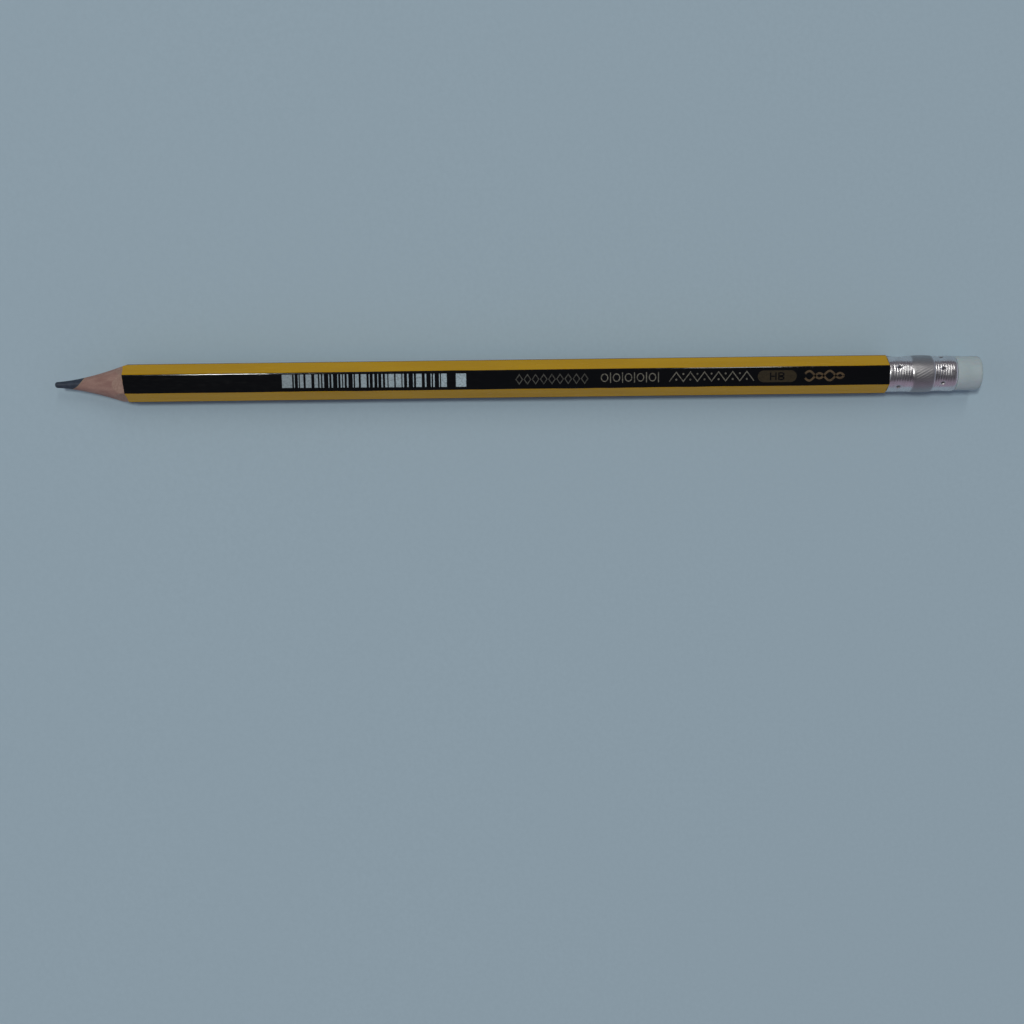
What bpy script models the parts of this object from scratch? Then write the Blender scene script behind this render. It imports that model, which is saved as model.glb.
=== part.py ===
"""A hexagonal graphite pencil with a crimped ferrule and an eraser, lying with its printed flat up.

Frame, in metres: +X runs along the pencil from its point to its eraser, +Y across it and +Z up. The
origin is on the surface that the pencil lies on, under the middle of its length.

Construction, from the inside out: a graphite core is glued into the grooves of two wood slats, and
the slats are glued to each other. A yellow lacquer coat covers the wood, with a black stripe on every
second flat, and the top stripe carries ink and foil prints. The barrel's end is turned down to a
tenon. The ferrule is crimped onto that tenon, and its other half grips the eraser. One concave
sharpening cut runs through core, wood and lacquer alike, and the lacquer has flaked a little way back
from it.

Angles around the pencil are in degrees from +Z towards +Y.
"""

import math

import bmesh
import bpy
from mathutils import Vector

MM = 0.001

# Whole pencil
PENCIL_LENGTH = 191.0 * MM
POINT_X = -PENCIL_LENGTH / 2
ERASER_END_X = PENCIL_LENGTH / 2

# Layers of the barrel: half the width across flats of each one's outer surface, and its corners
LACQUER_HALF_FLAT = 3.40 * MM
LACQUER_CORNER_RADIUS = 0.45 * MM
LACQUER_THICKNESS = 0.09 * MM
STRIPE_THICKNESS = 0.04 * MM
PRINT_THICKNESS = 0.01 * MM
FILM_GAP = 0.01 * MM
CORNER_STEP_DEGREES = 15.0

# Core and glue
CORE_RADIUS = 1.15 * MM
CORE_OFFSET_Y = 0.13 * MM
CORE_GLUE_THICKNESS = 0.03 * MM
CORE_GLUE_GAP = 0.015 * MM
GROOVE_RADIUS = CORE_RADIUS + CORE_GLUE_THICKNESS + 2 * CORE_GLUE_GAP
SEAM_GLUE_THICKNESS = 0.05 * MM
SEAM_HALF_GAP = SEAM_GLUE_THICKNESS / 2 + FILM_GAP
WOOD_DEPTH = LACQUER_THICKNESS + FILM_GAP

# Sharpening: a turned, concave cut whose axis is slightly off the barrel's
POINT_FLAT_RADIUS = 0.62 * MM
POINT_ROUNDING = 0.30 * MM
FLARE_AT_1_MM = 0.043 * MM
FLARE_POWER = 1.6
SHARPENER_LENGTH = 19.0 * MM
SHARPENER_RADIUS = 9.0 * MM
SHARPENER_OFFSET_Y = -0.15 * MM
SHARPENER_OFFSET_Z = -0.25 * MM
SHARPENER_TURN = math.radians(0.2)
SHARPENER_DIP = math.radians(-1.5)

# Flaking: the lacquer has broken away from the cut, back to a slightly oblique line
FLAKE_PLACE = 14.85 * MM
FLAKE_TURN = math.radians(5.9)
FLAKE_DIP = math.radians(6.05)

# Tenon, ferrule and eraser
ERASER_EXPOSED = 5.35 * MM
FERRULE_LENGTH = 13.85 * MM
FERRULE_X = ERASER_END_X - ERASER_EXPOSED - FERRULE_LENGTH
SHOULDER_GAP = 0.05 * MM
TENON_LENGTH = 6.5 * MM
TENON_RADIUS = 3.27 * MM
LATHE_OUTER_RADIUS = 5.0 * MM
FERRULE_BORE_RADIUS = 3.33 * MM
FERRULE_RIM_RADIUS = 3.64 * MM
FERRULE_GROOVE_RADIUS = 3.55 * MM
FERRULE_RIDGE_RADIUS = 3.66 * MM
FERRULE_BAND_RADIUS = 3.80 * MM
FERRULE_BAND_WALL = 0.25 * MM
FERRULE_CURL = 0.20 * MM
FERRULE_RIM_BEVEL = 0.07 * MM
RIDGE_COUNT = 7
ERASER_RADIUS = 3.52 * MM
ERASER_EDGE_ROUNDING = 0.70 * MM
ERASER_CLEARANCE = 0.06 * MM

# Places along the ferrule, from its barrel end, and the length of a step between them
FRONT_RIM_END = 0.9 * MM
FRONT_RIDGES_END = 4.6 * MM
BAND_END = 9.3 * MM
REAR_RIDGES_END = 12.8 * MM
SHOULDER_LENGTH = 0.2 * MM

# Crimps: round punches that press the ferrule's wall into the tenon and into the eraser
PUNCH_RADIUS = 0.75 * MM
PUNCH_DEPTH = 0.32 * MM
PUNCH_WALL = 0.22 * MM
PUNCH_CLEARANCE = 0.03 * MM
TENON_PUNCHES = 5
TENON_PUNCH_PLACE = 2.05 * MM
TENON_PUNCH_START = 27.0
ERASER_PUNCHES = 7
ERASER_PUNCH_PLACE = 10.95 * MM
ERASER_PUNCH_START = 20.5

# Prints on the top stripe: each one's name, its first and last place from the point, and its width
PRINTS = (
    ("ink_bar_code", 47.9 * MM, 85.6 * MM, 2.9 * MM),
    ("foil_lozenges", 95.6 * MM, 110.6 * MM, 2.3 * MM),
    ("foil_frieze", 112.9 * MM, 144.2 * MM, 2.5 * MM),
    ("foil_grade_badge", 145.0 * MM, 152.9 * MM, 2.5 * MM),
    ("foil_wave", 154.4 * MM, 162.7 * MM, 2.4 * MM),
)

# How finely round shapes are faceted
CORE_SEGMENTS = 32
SHARPENER_SEGMENTS = 60
SHARPENER_STATIONS = 14
FERRULE_SEGMENTS = 40
ROUNDING_STEPS = 3
PUNCH_SEGMENTS = 12
PUNCH_RINGS = 9
SMOOTH_ANGLE = math.radians(32.0)

# The pencil's axis is the widest band's radius above the surface that it lies on
AXIS_HEIGHT = FERRULE_BAND_RADIUS


def clear_scene():
    """Starts from an empty scene."""
    for thing in list(bpy.data.objects):
        bpy.data.objects.remove(thing)


def material(name, colour, roughness, metallic=0.0):
    """A Principled material of one colour, with its roughness and metallic value."""
    made = bpy.data.materials.new(name)
    made.use_nodes = True
    shader = made.node_tree.nodes["Principled BSDF"]
    shader.inputs["Base Color"].default_value = (*colour, 1.0)
    shader.inputs["Roughness"].default_value = roughness
    shader.inputs["Metallic"].default_value = metallic
    return made


def around(angle, radius):
    """The (y, z) point at an angle around the axis."""
    turn = math.radians(angle)
    return radius * math.sin(turn), radius * math.cos(turn)


def circle_arc(radius, first, last, steps, centre_y=0.0):
    """Points along an arc about (centre_y, 0), as (y, z)."""
    points = []
    for step in range(steps + 1):
        y, z = around(first + (last - first) * step / steps, radius)
        points.append((centre_y + y, z))
    return points


def hexagon_arc(half_flat, corner_radius, first, last):
    """Points of a round-cornered hexagon, as (y, z), while its outward normal turns from first to last."""
    corner_distance = (half_flat - corner_radius) / math.cos(math.radians(30))
    points = []
    for corner in range(math.floor(first / 60), math.ceil(last / 60)):
        centre_y, centre_z = around(60 * corner + 30, corner_distance)
        start = max(first, 60 * corner)
        end = min(last, 60 * corner + 60)
        steps = max(1, round((end - start) / CORNER_STEP_DEGREES))
        for y, z in circle_arc(corner_radius, start, end, steps):
            points.append((centre_y + y, centre_z + z))
    return points


def inset_hexagon_arc(depth, first, last):
    """The same path at a depth below the lacquer's outer surface; a negative depth lies above it."""
    return hexagon_arc(LACQUER_HALF_FLAT - depth, LACQUER_CORNER_RADIUS - depth, first, last)


def finished_mesh(name, shape):
    """Turns a bmesh into a mesh whose faces all point outwards."""
    bmesh.ops.recalc_face_normals(shape, faces=shape.faces)
    mesh = bpy.data.meshes.new(name)
    shape.to_mesh(mesh)
    shape.free()
    return mesh


def extruded_mesh(name, outline, length):
    """A prism along +X from a closed (y, z) outline."""
    shape = bmesh.new()
    corners = [shape.verts.new((0.0, y, z)) for y, z in outline]
    face = shape.faces.new(corners)
    grown = bmesh.ops.extrude_face_region(shape, geom=[face], use_keep_orig=True)
    moved = [item for item in grown["geom"] if isinstance(item, bmesh.types.BMVert)]
    bmesh.ops.translate(shape, verts=moved, vec=(length, 0.0, 0.0))
    return finished_mesh(name, shape)


def sleeve_mesh(name, outer, inner, length):
    """A tube along +X between two closed (y, z) outlines that have the same number of points."""
    shape = bmesh.new()
    loops = []
    for outline in (outer, inner):
        corners = [shape.verts.new((0.0, y, z)) for y, z in outline]
        loops.append([
            shape.edges.new((corners[i - 1], corners[i]))
            for i in range(len(corners))
        ])
    ring = bmesh.ops.bridge_loops(shape, edges=loops[0] + loops[1])
    grown = bmesh.ops.extrude_face_region(shape, geom=ring["faces"], use_keep_orig=True)
    moved = [item for item in grown["geom"] if isinstance(item, bmesh.types.BMVert)]
    bmesh.ops.translate(shape, verts=moved, vec=(length, 0.0, 0.0))
    return finished_mesh(name, shape)


def turned_mesh(name, profile, segments):
    """A solid turned about X from a closed (x, radius) profile."""
    shape = bmesh.new()
    corners = [shape.verts.new((x, 0.0, radius)) for x, radius in profile]
    edges = [
        shape.edges.new((corners[i - 1], corners[i]))
        for i in range(len(corners))
        if profile[i - 1][1] > 0.0 or profile[i][1] > 0.0
    ]
    bmesh.ops.spin(
        shape,
        geom=corners + edges,
        cent=(0.0, 0.0, 0.0),
        axis=(1.0, 0.0, 0.0),
        angle=math.tau,
        steps=segments,
        use_merge=True,
    )
    bmesh.ops.remove_doubles(shape, verts=shape.verts, dist=1e-7)
    return finished_mesh(name, shape)


def placed(name, mesh, x, parent, finish, smooth=False):
    """An object on the pencil's axis, x along it."""
    thing = bpy.data.objects.new(name, mesh)
    bpy.context.scene.collection.objects.link(thing)
    thing.parent = parent
    thing.location = (x, 0.0, 0.0)
    mesh.materials.append(finish)
    if smooth:
        mesh.shade_smooth()
        mesh.set_sharp_from_angle(angle=SMOOTH_ANGLE)
    return thing


def guide(thing):
    """Marks an object as a cutter, which is no part of the pencil."""
    thing.hide_render = True
    thing.display_type = "WIRE"
    return thing


def combine(thing, tool, operation):
    """Adds a Boolean to an object."""
    step = thing.modifiers.new(f"{operation.lower()}_{tool.name}", "BOOLEAN")
    step.operation = operation
    step.object = tool
    step.solver = "EXACT"


def sharpened_radius(distance):
    """The sharpened cone's radius at a distance from its blunt point."""
    return POINT_FLAT_RADIUS + FLARE_AT_1_MM * (distance / MM) ** FLARE_POWER


def make_sharpener(parent, finish):
    """Everything that sharpening takes away: a cup with the point's shape as its hollow."""
    hollow = [(0.0, 0.0)]
    for step in range(ROUNDING_STEPS + 1):
        turn = math.radians(90) * step / ROUNDING_STEPS
        x = POINT_ROUNDING * (1 - math.cos(turn))
        hollow.append((x, POINT_FLAT_RADIUS - POINT_ROUNDING * (1 - math.sin(turn))))
    for station in range(1, SHARPENER_STATIONS + 1):
        x = POINT_ROUNDING + (SHARPENER_LENGTH - POINT_ROUNDING) * station / SHARPENER_STATIONS
        hollow.append((x, sharpened_radius(x)))
    outside = [
        (SHARPENER_LENGTH, SHARPENER_RADIUS),
        (-SHARPENER_RADIUS, SHARPENER_RADIUS),
        (-SHARPENER_RADIUS, 0.0),
    ]
    mesh = turned_mesh("sharpener", hollow + outside, SHARPENER_SEGMENTS)
    sharpener = guide(placed("sharpener", mesh, POINT_X, parent, finish))
    sharpener.location.y = SHARPENER_OFFSET_Y
    sharpener.location.z = SHARPENER_OFFSET_Z
    sharpener.rotation_euler = (0.0, SHARPENER_DIP, SHARPENER_TURN)
    return sharpener


def make_flake(parent, finish):
    """The plug of space in front of the lacquer's broken edge."""
    plug = [
        (-SHARPENER_LENGTH, 0.0),
        (-SHARPENER_LENGTH, SHARPENER_RADIUS),
        (0.0, SHARPENER_RADIUS),
        (0.0, 0.0),
    ]
    mesh = turned_mesh("flake", plug, SHARPENER_SEGMENTS)
    flake = guide(placed("flake", mesh, POINT_X + FLAKE_PLACE, parent, finish))
    flake.rotation_euler = (0.0, FLAKE_DIP, FLAKE_TURN)
    return flake


def make_tenon_lathe(parent, finish):
    """The ring of wood that is turned away around the tenon."""
    ring = [
        (0.0, TENON_RADIUS),
        (FERRULE_LENGTH, TENON_RADIUS),
        (FERRULE_LENGTH, LATHE_OUTER_RADIUS),
        (0.0, LATHE_OUTER_RADIUS),
    ]
    mesh = turned_mesh("tenon_lathe", ring, FERRULE_SEGMENTS)
    return guide(placed("tenon_lathe", mesh, FERRULE_X - SHOULDER_GAP, parent, finish))


def punch_places():
    """Where each crimp is, as its place along the ferrule and its angle around it."""
    rings = (
        (TENON_PUNCHES, TENON_PUNCH_PLACE, TENON_PUNCH_START),
        (ERASER_PUNCHES, ERASER_PUNCH_PLACE, ERASER_PUNCH_START),
    )
    for count, place, start in rings:
        for number in range(count):
            yield place, start + 360.0 * number / count


def make_punches(name, radius, parent, finish):
    """One ball for each crimp, all with the same centres, so that a larger radius is a deeper layer."""
    shape = bmesh.new()
    centre_distance = FERRULE_RIDGE_RADIUS - PUNCH_DEPTH + PUNCH_RADIUS
    for place, angle in punch_places():
        ball = bmesh.ops.create_uvsphere(
            shape, u_segments=PUNCH_SEGMENTS, v_segments=PUNCH_RINGS, radius=radius
        )
        y, z = around(angle, centre_distance)
        outwards = Vector((0.0, y, z))
        bmesh.ops.rotate(
            shape,
            verts=ball["verts"],
            cent=(0.0, 0.0, 0.0),
            matrix=outwards.to_track_quat("Z", "X").to_matrix(),
        )
        bmesh.ops.translate(shape, verts=ball["verts"], vec=(place, y, z))
    mesh = finished_mesh(name, shape)
    return guide(placed(name, mesh, FERRULE_X, parent, finish))


def make_graphite_core(parent, finish):
    """The lead: a plain rod from the point to the end of the tenon."""
    rod = circle_arc(CORE_RADIUS, 0.0, 360.0, CORE_SEGMENTS, CORE_OFFSET_Y)[:-1]
    mesh = extruded_mesh("graphite_core", rod, FERRULE_X + TENON_LENGTH - POINT_X)
    return placed("graphite_core", mesh, POINT_X, parent, finish, smooth=True)


def make_core_glue(parent, finish):
    """The film of glue that holds the core in its grooves."""
    inner_radius = CORE_RADIUS + CORE_GLUE_GAP
    outer_radius = inner_radius + CORE_GLUE_THICKNESS
    outer = circle_arc(outer_radius, 0.0, 360.0, CORE_SEGMENTS, CORE_OFFSET_Y)[:-1]
    inner = circle_arc(inner_radius, 0.0, 360.0, CORE_SEGMENTS, CORE_OFFSET_Y)[:-1]
    mesh = sleeve_mesh("core_glue_sleeve", outer, inner, FERRULE_X + TENON_LENGTH - POINT_X)
    return placed("core_glue_sleeve", mesh, POINT_X, parent, finish, smooth=True)


def make_slat(name, side, parent, finish):
    """Half of the barrel's wood, with its groove for the core. side is 1 for the upper slat, -1 below."""
    corner_radius = LACQUER_CORNER_RADIUS - WOOD_DEPTH
    corner_normal = math.degrees(math.acos(SEAM_HALF_GAP / corner_radius))
    groove_normal = math.degrees(math.acos(SEAM_HALF_GAP / GROOVE_RADIUS))
    outside = inset_hexagon_arc(WOOD_DEPTH, -corner_normal, corner_normal)
    groove = circle_arc(
        GROOVE_RADIUS, groove_normal, -groove_normal, CORE_SEGMENTS // 2, CORE_OFFSET_Y
    )
    outline = [(y, side * z) for y, z in outside + groove]
    mesh = extruded_mesh(name, outline, FERRULE_X + TENON_LENGTH - POINT_X)
    return placed(name, mesh, POINT_X, parent, finish, smooth=True)


def make_seam_glue(name, side, parent, finish):
    """The film of glue between the slats on one side of the core. side is 1 for the rear, -1 the front."""
    half_flat = LACQUER_HALF_FLAT - WOOD_DEPTH
    corner_radius = LACQUER_CORNER_RADIUS - WOOD_DEPTH
    corner_y = (half_flat - corner_radius) / math.cos(math.radians(30)) + corner_radius
    near = side * (GROOVE_RADIUS + FILM_GAP) + CORE_OFFSET_Y
    far = side * (corner_y - FILM_GAP)
    half = SEAM_GLUE_THICKNESS / 2
    outline = [(near, -half), (far, -half), (far, half), (near, half)]
    mesh = extruded_mesh(name, outline, FERRULE_X + TENON_LENGTH - POINT_X)
    return placed(name, mesh, POINT_X, parent, finish)


def make_lacquer(parent, finish):
    """The yellow lacquer: a thin six-sided tube that ends at the ferrule's shoulder."""
    outer = inset_hexagon_arc(0.0, 0.0, 360.0)
    inner = inset_hexagon_arc(LACQUER_THICKNESS, 0.0, 360.0)
    mesh = sleeve_mesh("yellow_lacquer_coat", outer, inner, FERRULE_X - SHOULDER_GAP - POINT_X)
    return placed("yellow_lacquer_coat", mesh, POINT_X, parent, finish, smooth=True)


def make_stripe(name, angle, parent, finish):
    """A black stripe on the flat that faces angle, out to the middle of the corners beside it."""
    below = -FILM_GAP
    above = below - STRIPE_THICKNESS
    outside = inset_hexagon_arc(above, angle - 30, angle + 30)
    inside = inset_hexagon_arc(below, angle - 30, angle + 30)
    mesh = extruded_mesh(name, outside + inside[::-1], FERRULE_X - SHOULDER_GAP - POINT_X)
    return placed(name, mesh, POINT_X, parent, finish, smooth=True)


def make_print(name, first, last, width, parent, finish):
    """The area of one ink or foil print, as a thin plate on the top stripe."""
    bottom = LACQUER_HALF_FLAT + STRIPE_THICKNESS + 2 * FILM_GAP
    top = bottom + PRINT_THICKNESS
    half = width / 2
    outline = [(-half, bottom), (half, bottom), (half, top), (-half, top)]
    mesh = extruded_mesh(name, outline, last - first)
    return placed(name, mesh, POINT_X + first, parent, finish)


def ridges(first, last):
    """The (x, radius) profile of a run of rolled ridges, which starts and ends in a groove."""
    pitch = (last - first) / RIDGE_COUNT
    profile = [(first, FERRULE_GROOVE_RADIUS)]
    for ridge in range(RIDGE_COUNT):
        profile.append((first + (ridge + 0.5) * pitch, FERRULE_RIDGE_RADIUS))
        profile.append((first + (ridge + 1.0) * pitch, FERRULE_GROOVE_RADIUS))
    return profile


def ferrule_profile():
    """The ferrule's closed (x, radius) profile: over the outside and back through the bore."""
    band_inside = FERRULE_BAND_RADIUS - FERRULE_BAND_WALL
    band_start = FRONT_RIDGES_END + SHOULDER_LENGTH
    band_stop = BAND_END - SHOULDER_LENGTH
    outside = [
        (0.0, FERRULE_RIM_RADIUS - FERRULE_RIM_BEVEL),
        (FERRULE_RIM_BEVEL, FERRULE_RIM_RADIUS),
        (FRONT_RIM_END - SHOULDER_LENGTH, FERRULE_RIM_RADIUS),
        *ridges(FRONT_RIM_END, FRONT_RIDGES_END),
        (band_start, FERRULE_BAND_RADIUS),
        (band_stop, FERRULE_BAND_RADIUS),
        *ridges(BAND_END, REAR_RIDGES_END),
        (REAR_RIDGES_END + SHOULDER_LENGTH, FERRULE_RIM_RADIUS),
        (FERRULE_LENGTH - 2 * SHOULDER_LENGTH, FERRULE_RIM_RADIUS - FERRULE_CURL / 3),
        (FERRULE_LENGTH, FERRULE_RIM_RADIUS - FERRULE_CURL),
    ]
    bore = [
        (FERRULE_LENGTH, FERRULE_BORE_RADIUS - FERRULE_CURL),
        (REAR_RIDGES_END + SHOULDER_LENGTH, FERRULE_BORE_RADIUS),
        (band_stop + SHOULDER_LENGTH, FERRULE_BORE_RADIUS),
        (band_stop, band_inside),
        (band_start, band_inside),
        (band_start - SHOULDER_LENGTH, FERRULE_BORE_RADIUS),
        (0.0, FERRULE_BORE_RADIUS),
    ]
    return outside + bore


def make_ferrule(parent, finish):
    """The aluminium ferrule: a rolled tube with ridges, a raised band and punched crimps."""
    mesh = turned_mesh("ferrule", ferrule_profile(), FERRULE_SEGMENTS)
    ferrule = placed("ferrule", mesh, FERRULE_X, parent, finish, smooth=True)
    dents = make_punches("punched_walls", PUNCH_RADIUS + PUNCH_WALL, parent, finish)
    within = [
        (-FERRULE_LENGTH, 0.0),
        (-FERRULE_LENGTH, FERRULE_GROOVE_RADIUS - PUNCH_CLEARANCE),
        (2 * FERRULE_LENGTH, FERRULE_GROOVE_RADIUS - PUNCH_CLEARANCE),
        (2 * FERRULE_LENGTH, 0.0),
    ]
    bore = turned_mesh("within_ferrule", within, FERRULE_SEGMENTS)
    limit = guide(placed("within_ferrule", bore, FERRULE_X, parent, finish))
    combine(dents, limit, "INTERSECT")
    combine(ferrule, dents, "UNION")
    combine(ferrule, make_punches("punches", PUNCH_RADIUS, parent, finish), "DIFFERENCE")
    return ferrule


def make_eraser(parent, finish):
    """The rubber plug: a cylinder with a neck under the curled rim and a rounded end."""
    start = TENON_LENGTH + 2 * SHOULDER_GAP
    gripped = FERRULE_BORE_RADIUS - ERASER_CLEARANCE
    neck = gripped - FERRULE_CURL
    end = FERRULE_LENGTH + ERASER_EXPOSED
    profile = [
        (start, 0.0),
        (start, gripped - SHOULDER_LENGTH),
        (start + SHOULDER_LENGTH, gripped),
        (REAR_RIDGES_END, gripped),
        (FERRULE_LENGTH - SHOULDER_LENGTH, neck),
        (FERRULE_LENGTH + SHOULDER_GAP, neck),
        (FERRULE_LENGTH + 2 * SHOULDER_GAP, ERASER_RADIUS - ERASER_CLEARANCE),
        (FERRULE_LENGTH + SHOULDER_LENGTH, ERASER_RADIUS),
    ]
    for step in range(ROUNDING_STEPS + 1):
        turn = math.radians(90) * step / ROUNDING_STEPS
        x = end - ERASER_EDGE_ROUNDING * (1 - math.sin(turn))
        profile.append((x, ERASER_RADIUS - ERASER_EDGE_ROUNDING * (1 - math.cos(turn))))
    profile.append((end, 0.0))
    mesh = turned_mesh("eraser", profile, FERRULE_SEGMENTS)
    return placed("eraser", mesh, FERRULE_X, parent, finish, smooth=True)


def make_axis():
    """The empty that carries the whole pencil at its height above the surface."""
    axis = bpy.data.objects.new("pencil_axis", None)
    bpy.context.scene.collection.objects.link(axis)
    axis.location = (0.0, 0.0, AXIS_HEIGHT)
    return axis


def make_pencil():
    """Builds every piece, and cuts it with the sharpener, the tenon's lathe and the punches."""
    axis = make_axis()
    guide_look = material("guide", (0.8, 0.2, 0.2), 0.5)
    wood = material("wood", (0.50, 0.36, 0.28), 0.7)
    graphite = material("graphite", (0.05, 0.055, 0.065), 0.35, 0.2)
    glue = material("glue", (0.62, 0.55, 0.42), 0.5)
    yellow = material("yellow_lacquer", (0.62, 0.40, 0.03), 0.22)
    black = material("black_lacquer", (0.01, 0.01, 0.012), 0.15)
    aluminium = material("aluminium", (0.72, 0.73, 0.75), 0.3, 1.0)
    rubber = material("white_rubber", (0.70, 0.74, 0.71), 0.8)
    ink = material("white_ink", (0.78, 0.80, 0.80), 0.5)
    foil = material("gold_foil", (0.80, 0.62, 0.28), 0.3, 1.0)

    sharpener = make_sharpener(axis, guide_look)
    flake = make_flake(axis, guide_look)
    lathe = make_tenon_lathe(axis, guide_look)
    clearance = PUNCH_RADIUS + PUNCH_WALL + PUNCH_CLEARANCE
    dents = make_punches("dent_clearance", clearance, axis, guide_look)

    wooden = [
        make_slat("wood_slat_upper", 1, axis, wood),
        make_slat("wood_slat_lower", -1, axis, wood),
        make_seam_glue("glue_line_rear", 1, axis, glue),
        make_seam_glue("glue_line_front", -1, axis, glue),
    ]
    cored = [
        make_graphite_core(axis, graphite),
        make_core_glue(axis, glue),
    ]
    coated = [
        make_lacquer(axis, yellow),
        make_stripe("black_stripe_top", 0, axis, black),
        make_stripe("black_stripe_rear", 120, axis, black),
        make_stripe("black_stripe_front", 240, axis, black),
    ]
    for piece in wooden + cored + coated:
        combine(piece, sharpener, "DIFFERENCE")
    for piece in coated:
        combine(piece, flake, "DIFFERENCE")
    for piece in wooden:
        combine(piece, lathe, "DIFFERENCE")
        combine(piece, dents, "DIFFERENCE")

    for name, first, last, width in PRINTS:
        make_print(name, first, last, width, axis, ink if name.startswith("ink") else foil)

    make_ferrule(axis, aluminium)
    combine(make_eraser(axis, rubber), dents, "DIFFERENCE")


clear_scene()
make_pencil()
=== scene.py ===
"""The looks of a hexagonal graphite pencil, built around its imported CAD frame.

Everything is in the frame's metres: +X runs from the point to the eraser and +Z is up out of the
printed flat. Outlines across the pencil are (y, z) points measured from its axis. Angles around it
are in degrees from +Z towards +Y.
"""

import math
import random

import bmesh
import bpy
import numpy as np
from mathutils import Matrix, Vector


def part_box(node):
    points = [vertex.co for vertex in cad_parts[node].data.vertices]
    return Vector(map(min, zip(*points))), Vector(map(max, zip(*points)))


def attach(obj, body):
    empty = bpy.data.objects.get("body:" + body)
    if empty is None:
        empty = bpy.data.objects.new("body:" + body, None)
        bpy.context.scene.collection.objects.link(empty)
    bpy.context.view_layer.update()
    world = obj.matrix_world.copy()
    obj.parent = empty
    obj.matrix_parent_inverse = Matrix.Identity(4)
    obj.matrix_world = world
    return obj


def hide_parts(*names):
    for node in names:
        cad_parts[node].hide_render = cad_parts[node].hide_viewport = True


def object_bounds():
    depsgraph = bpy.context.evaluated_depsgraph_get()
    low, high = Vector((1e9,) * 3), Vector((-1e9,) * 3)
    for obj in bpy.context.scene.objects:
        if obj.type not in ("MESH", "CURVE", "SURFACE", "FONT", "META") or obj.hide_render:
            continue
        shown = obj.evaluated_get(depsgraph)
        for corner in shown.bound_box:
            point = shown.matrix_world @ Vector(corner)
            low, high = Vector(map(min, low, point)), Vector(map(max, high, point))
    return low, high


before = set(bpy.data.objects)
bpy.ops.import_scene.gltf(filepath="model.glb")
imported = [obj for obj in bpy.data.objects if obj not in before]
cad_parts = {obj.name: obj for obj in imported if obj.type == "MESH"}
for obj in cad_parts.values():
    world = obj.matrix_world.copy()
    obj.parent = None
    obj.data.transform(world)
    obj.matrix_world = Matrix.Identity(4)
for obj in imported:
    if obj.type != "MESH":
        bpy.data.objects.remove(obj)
cad_low, cad_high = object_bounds()

MM = 0.001
SAME_POINT = 0.00001 * MM

# Places that the frame gives
POINT_X = cad_low.x
FERRULE_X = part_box("ferrule")[0].x
FERRULE_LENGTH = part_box("ferrule")[1].x - FERRULE_X
ERASER_START_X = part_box("eraser")[0].x
ERASER_END_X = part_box("eraser")[1].x
BARREL_END_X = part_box("yellow_lacquer_coat")[1].x
BARREL_FRONT_X = POINT_X + 14 * MM
TENON_END_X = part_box("wood_slat_upper")[1].x
AXIS_Z = (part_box("ferrule")[0].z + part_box("ferrule")[1].z) / 2

# Layers of the barrel: depth below the lacquer's outer surface, whose half width across flats and
# corner radius come first
LACQUER_HALF_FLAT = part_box("yellow_lacquer_coat")[1].z - AXIS_Z
LACQUER_CORNER_RADIUS = 0.45 * MM
LACQUER_THICKNESS = 0.09 * MM
WOOD_DEPTH = 0.10 * MM
STRIPE_BOTTOM_DEPTH = -0.01 * MM
STRIPE_TOP_DEPTH = -0.05 * MM

# Core, glue and tenon
CORE_COLUMNS = 120
CORE_RADIUS = (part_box("graphite_core")[1].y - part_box("graphite_core")[0].y) / 2
CORE_OFFSET_Y = (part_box("graphite_core")[1].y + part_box("graphite_core")[0].y) / 2
CORE_GLUE_INNER_RADIUS = 1.165 * MM
CORE_GLUE_OUTER_RADIUS = 1.195 * MM
GROOVE_RADIUS = 1.21 * MM
SEAM_HALF_GAP = 0.035 * MM
SEAM_GLUE_HALF = 0.025 * MM
SEAM_GLUE_COLUMNS = 25
TENON_RADIUS = 3.27 * MM
TENON_GLUE_SETBACK = 0.35 * MM

# Sharpening: a turned, concave cut whose axis is slightly off the barrel's
POINT_FLAT_RADIUS = 0.62 * MM
POINT_ROUNDING = 0.45 * MM
FLARE_AT_1_MM = 0.043 * MM
FLARE_POWER = 1.6
SHARPENER_START = Vector((POINT_X, -0.15 * MM, -0.25 * MM))
SHARPENER_TURN = math.radians(0.2)
SHARPENER_DIP = math.radians(-1.5)
CUT_SEARCH = (POINT_X - 2 * MM, POINT_X + 30 * MM)
CUT_HALVINGS = 40

# Flaking: the lacquer has broken away from the cut, back to a slightly oblique line
FLAKE_START = Vector((POINT_X + 14.85 * MM, 0.0, 0.0))
FLAKE_TURN = math.radians(5.9)
FLAKE_DIP = math.radians(6.05)
STRIP_SETBACK = 0.08 * MM

# Ferrule: radii, places from its front end, and the marks on its raised band
BORE_RADIUS = 3.33 * MM
RIM_RADIUS = 3.64 * MM
GROOVE_DEPTH_RADIUS = 3.615 * MM
RIDGE_RADIUS = 3.645 * MM
BAND_EDGE_RADIUS = 3.69 * MM
BAND_RADIUS = 3.79 * MM
CURL = 0.20 * MM
CURL_START = 13.0 * MM
FRONT_RIDGES = (0.9 * MM, 4.6 * MM)
BAND = (4.8 * MM, 9.1 * MM)
HATCH = (5.2 * MM, 8.7 * MM)
REAR_RIDGES = (9.3 * MM, 12.8 * MM)
RIDGE_COUNT = 7
HATCH_LINES = 38
HATCH_SLOPE = math.radians(30)
HATCH_DEPTH = 0.032 * MM
HATCH_FADE = 0.3 * MM
HANDLING_DEPTH = 0.010 * MM
FERRULE_COLUMNS = 384

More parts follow.
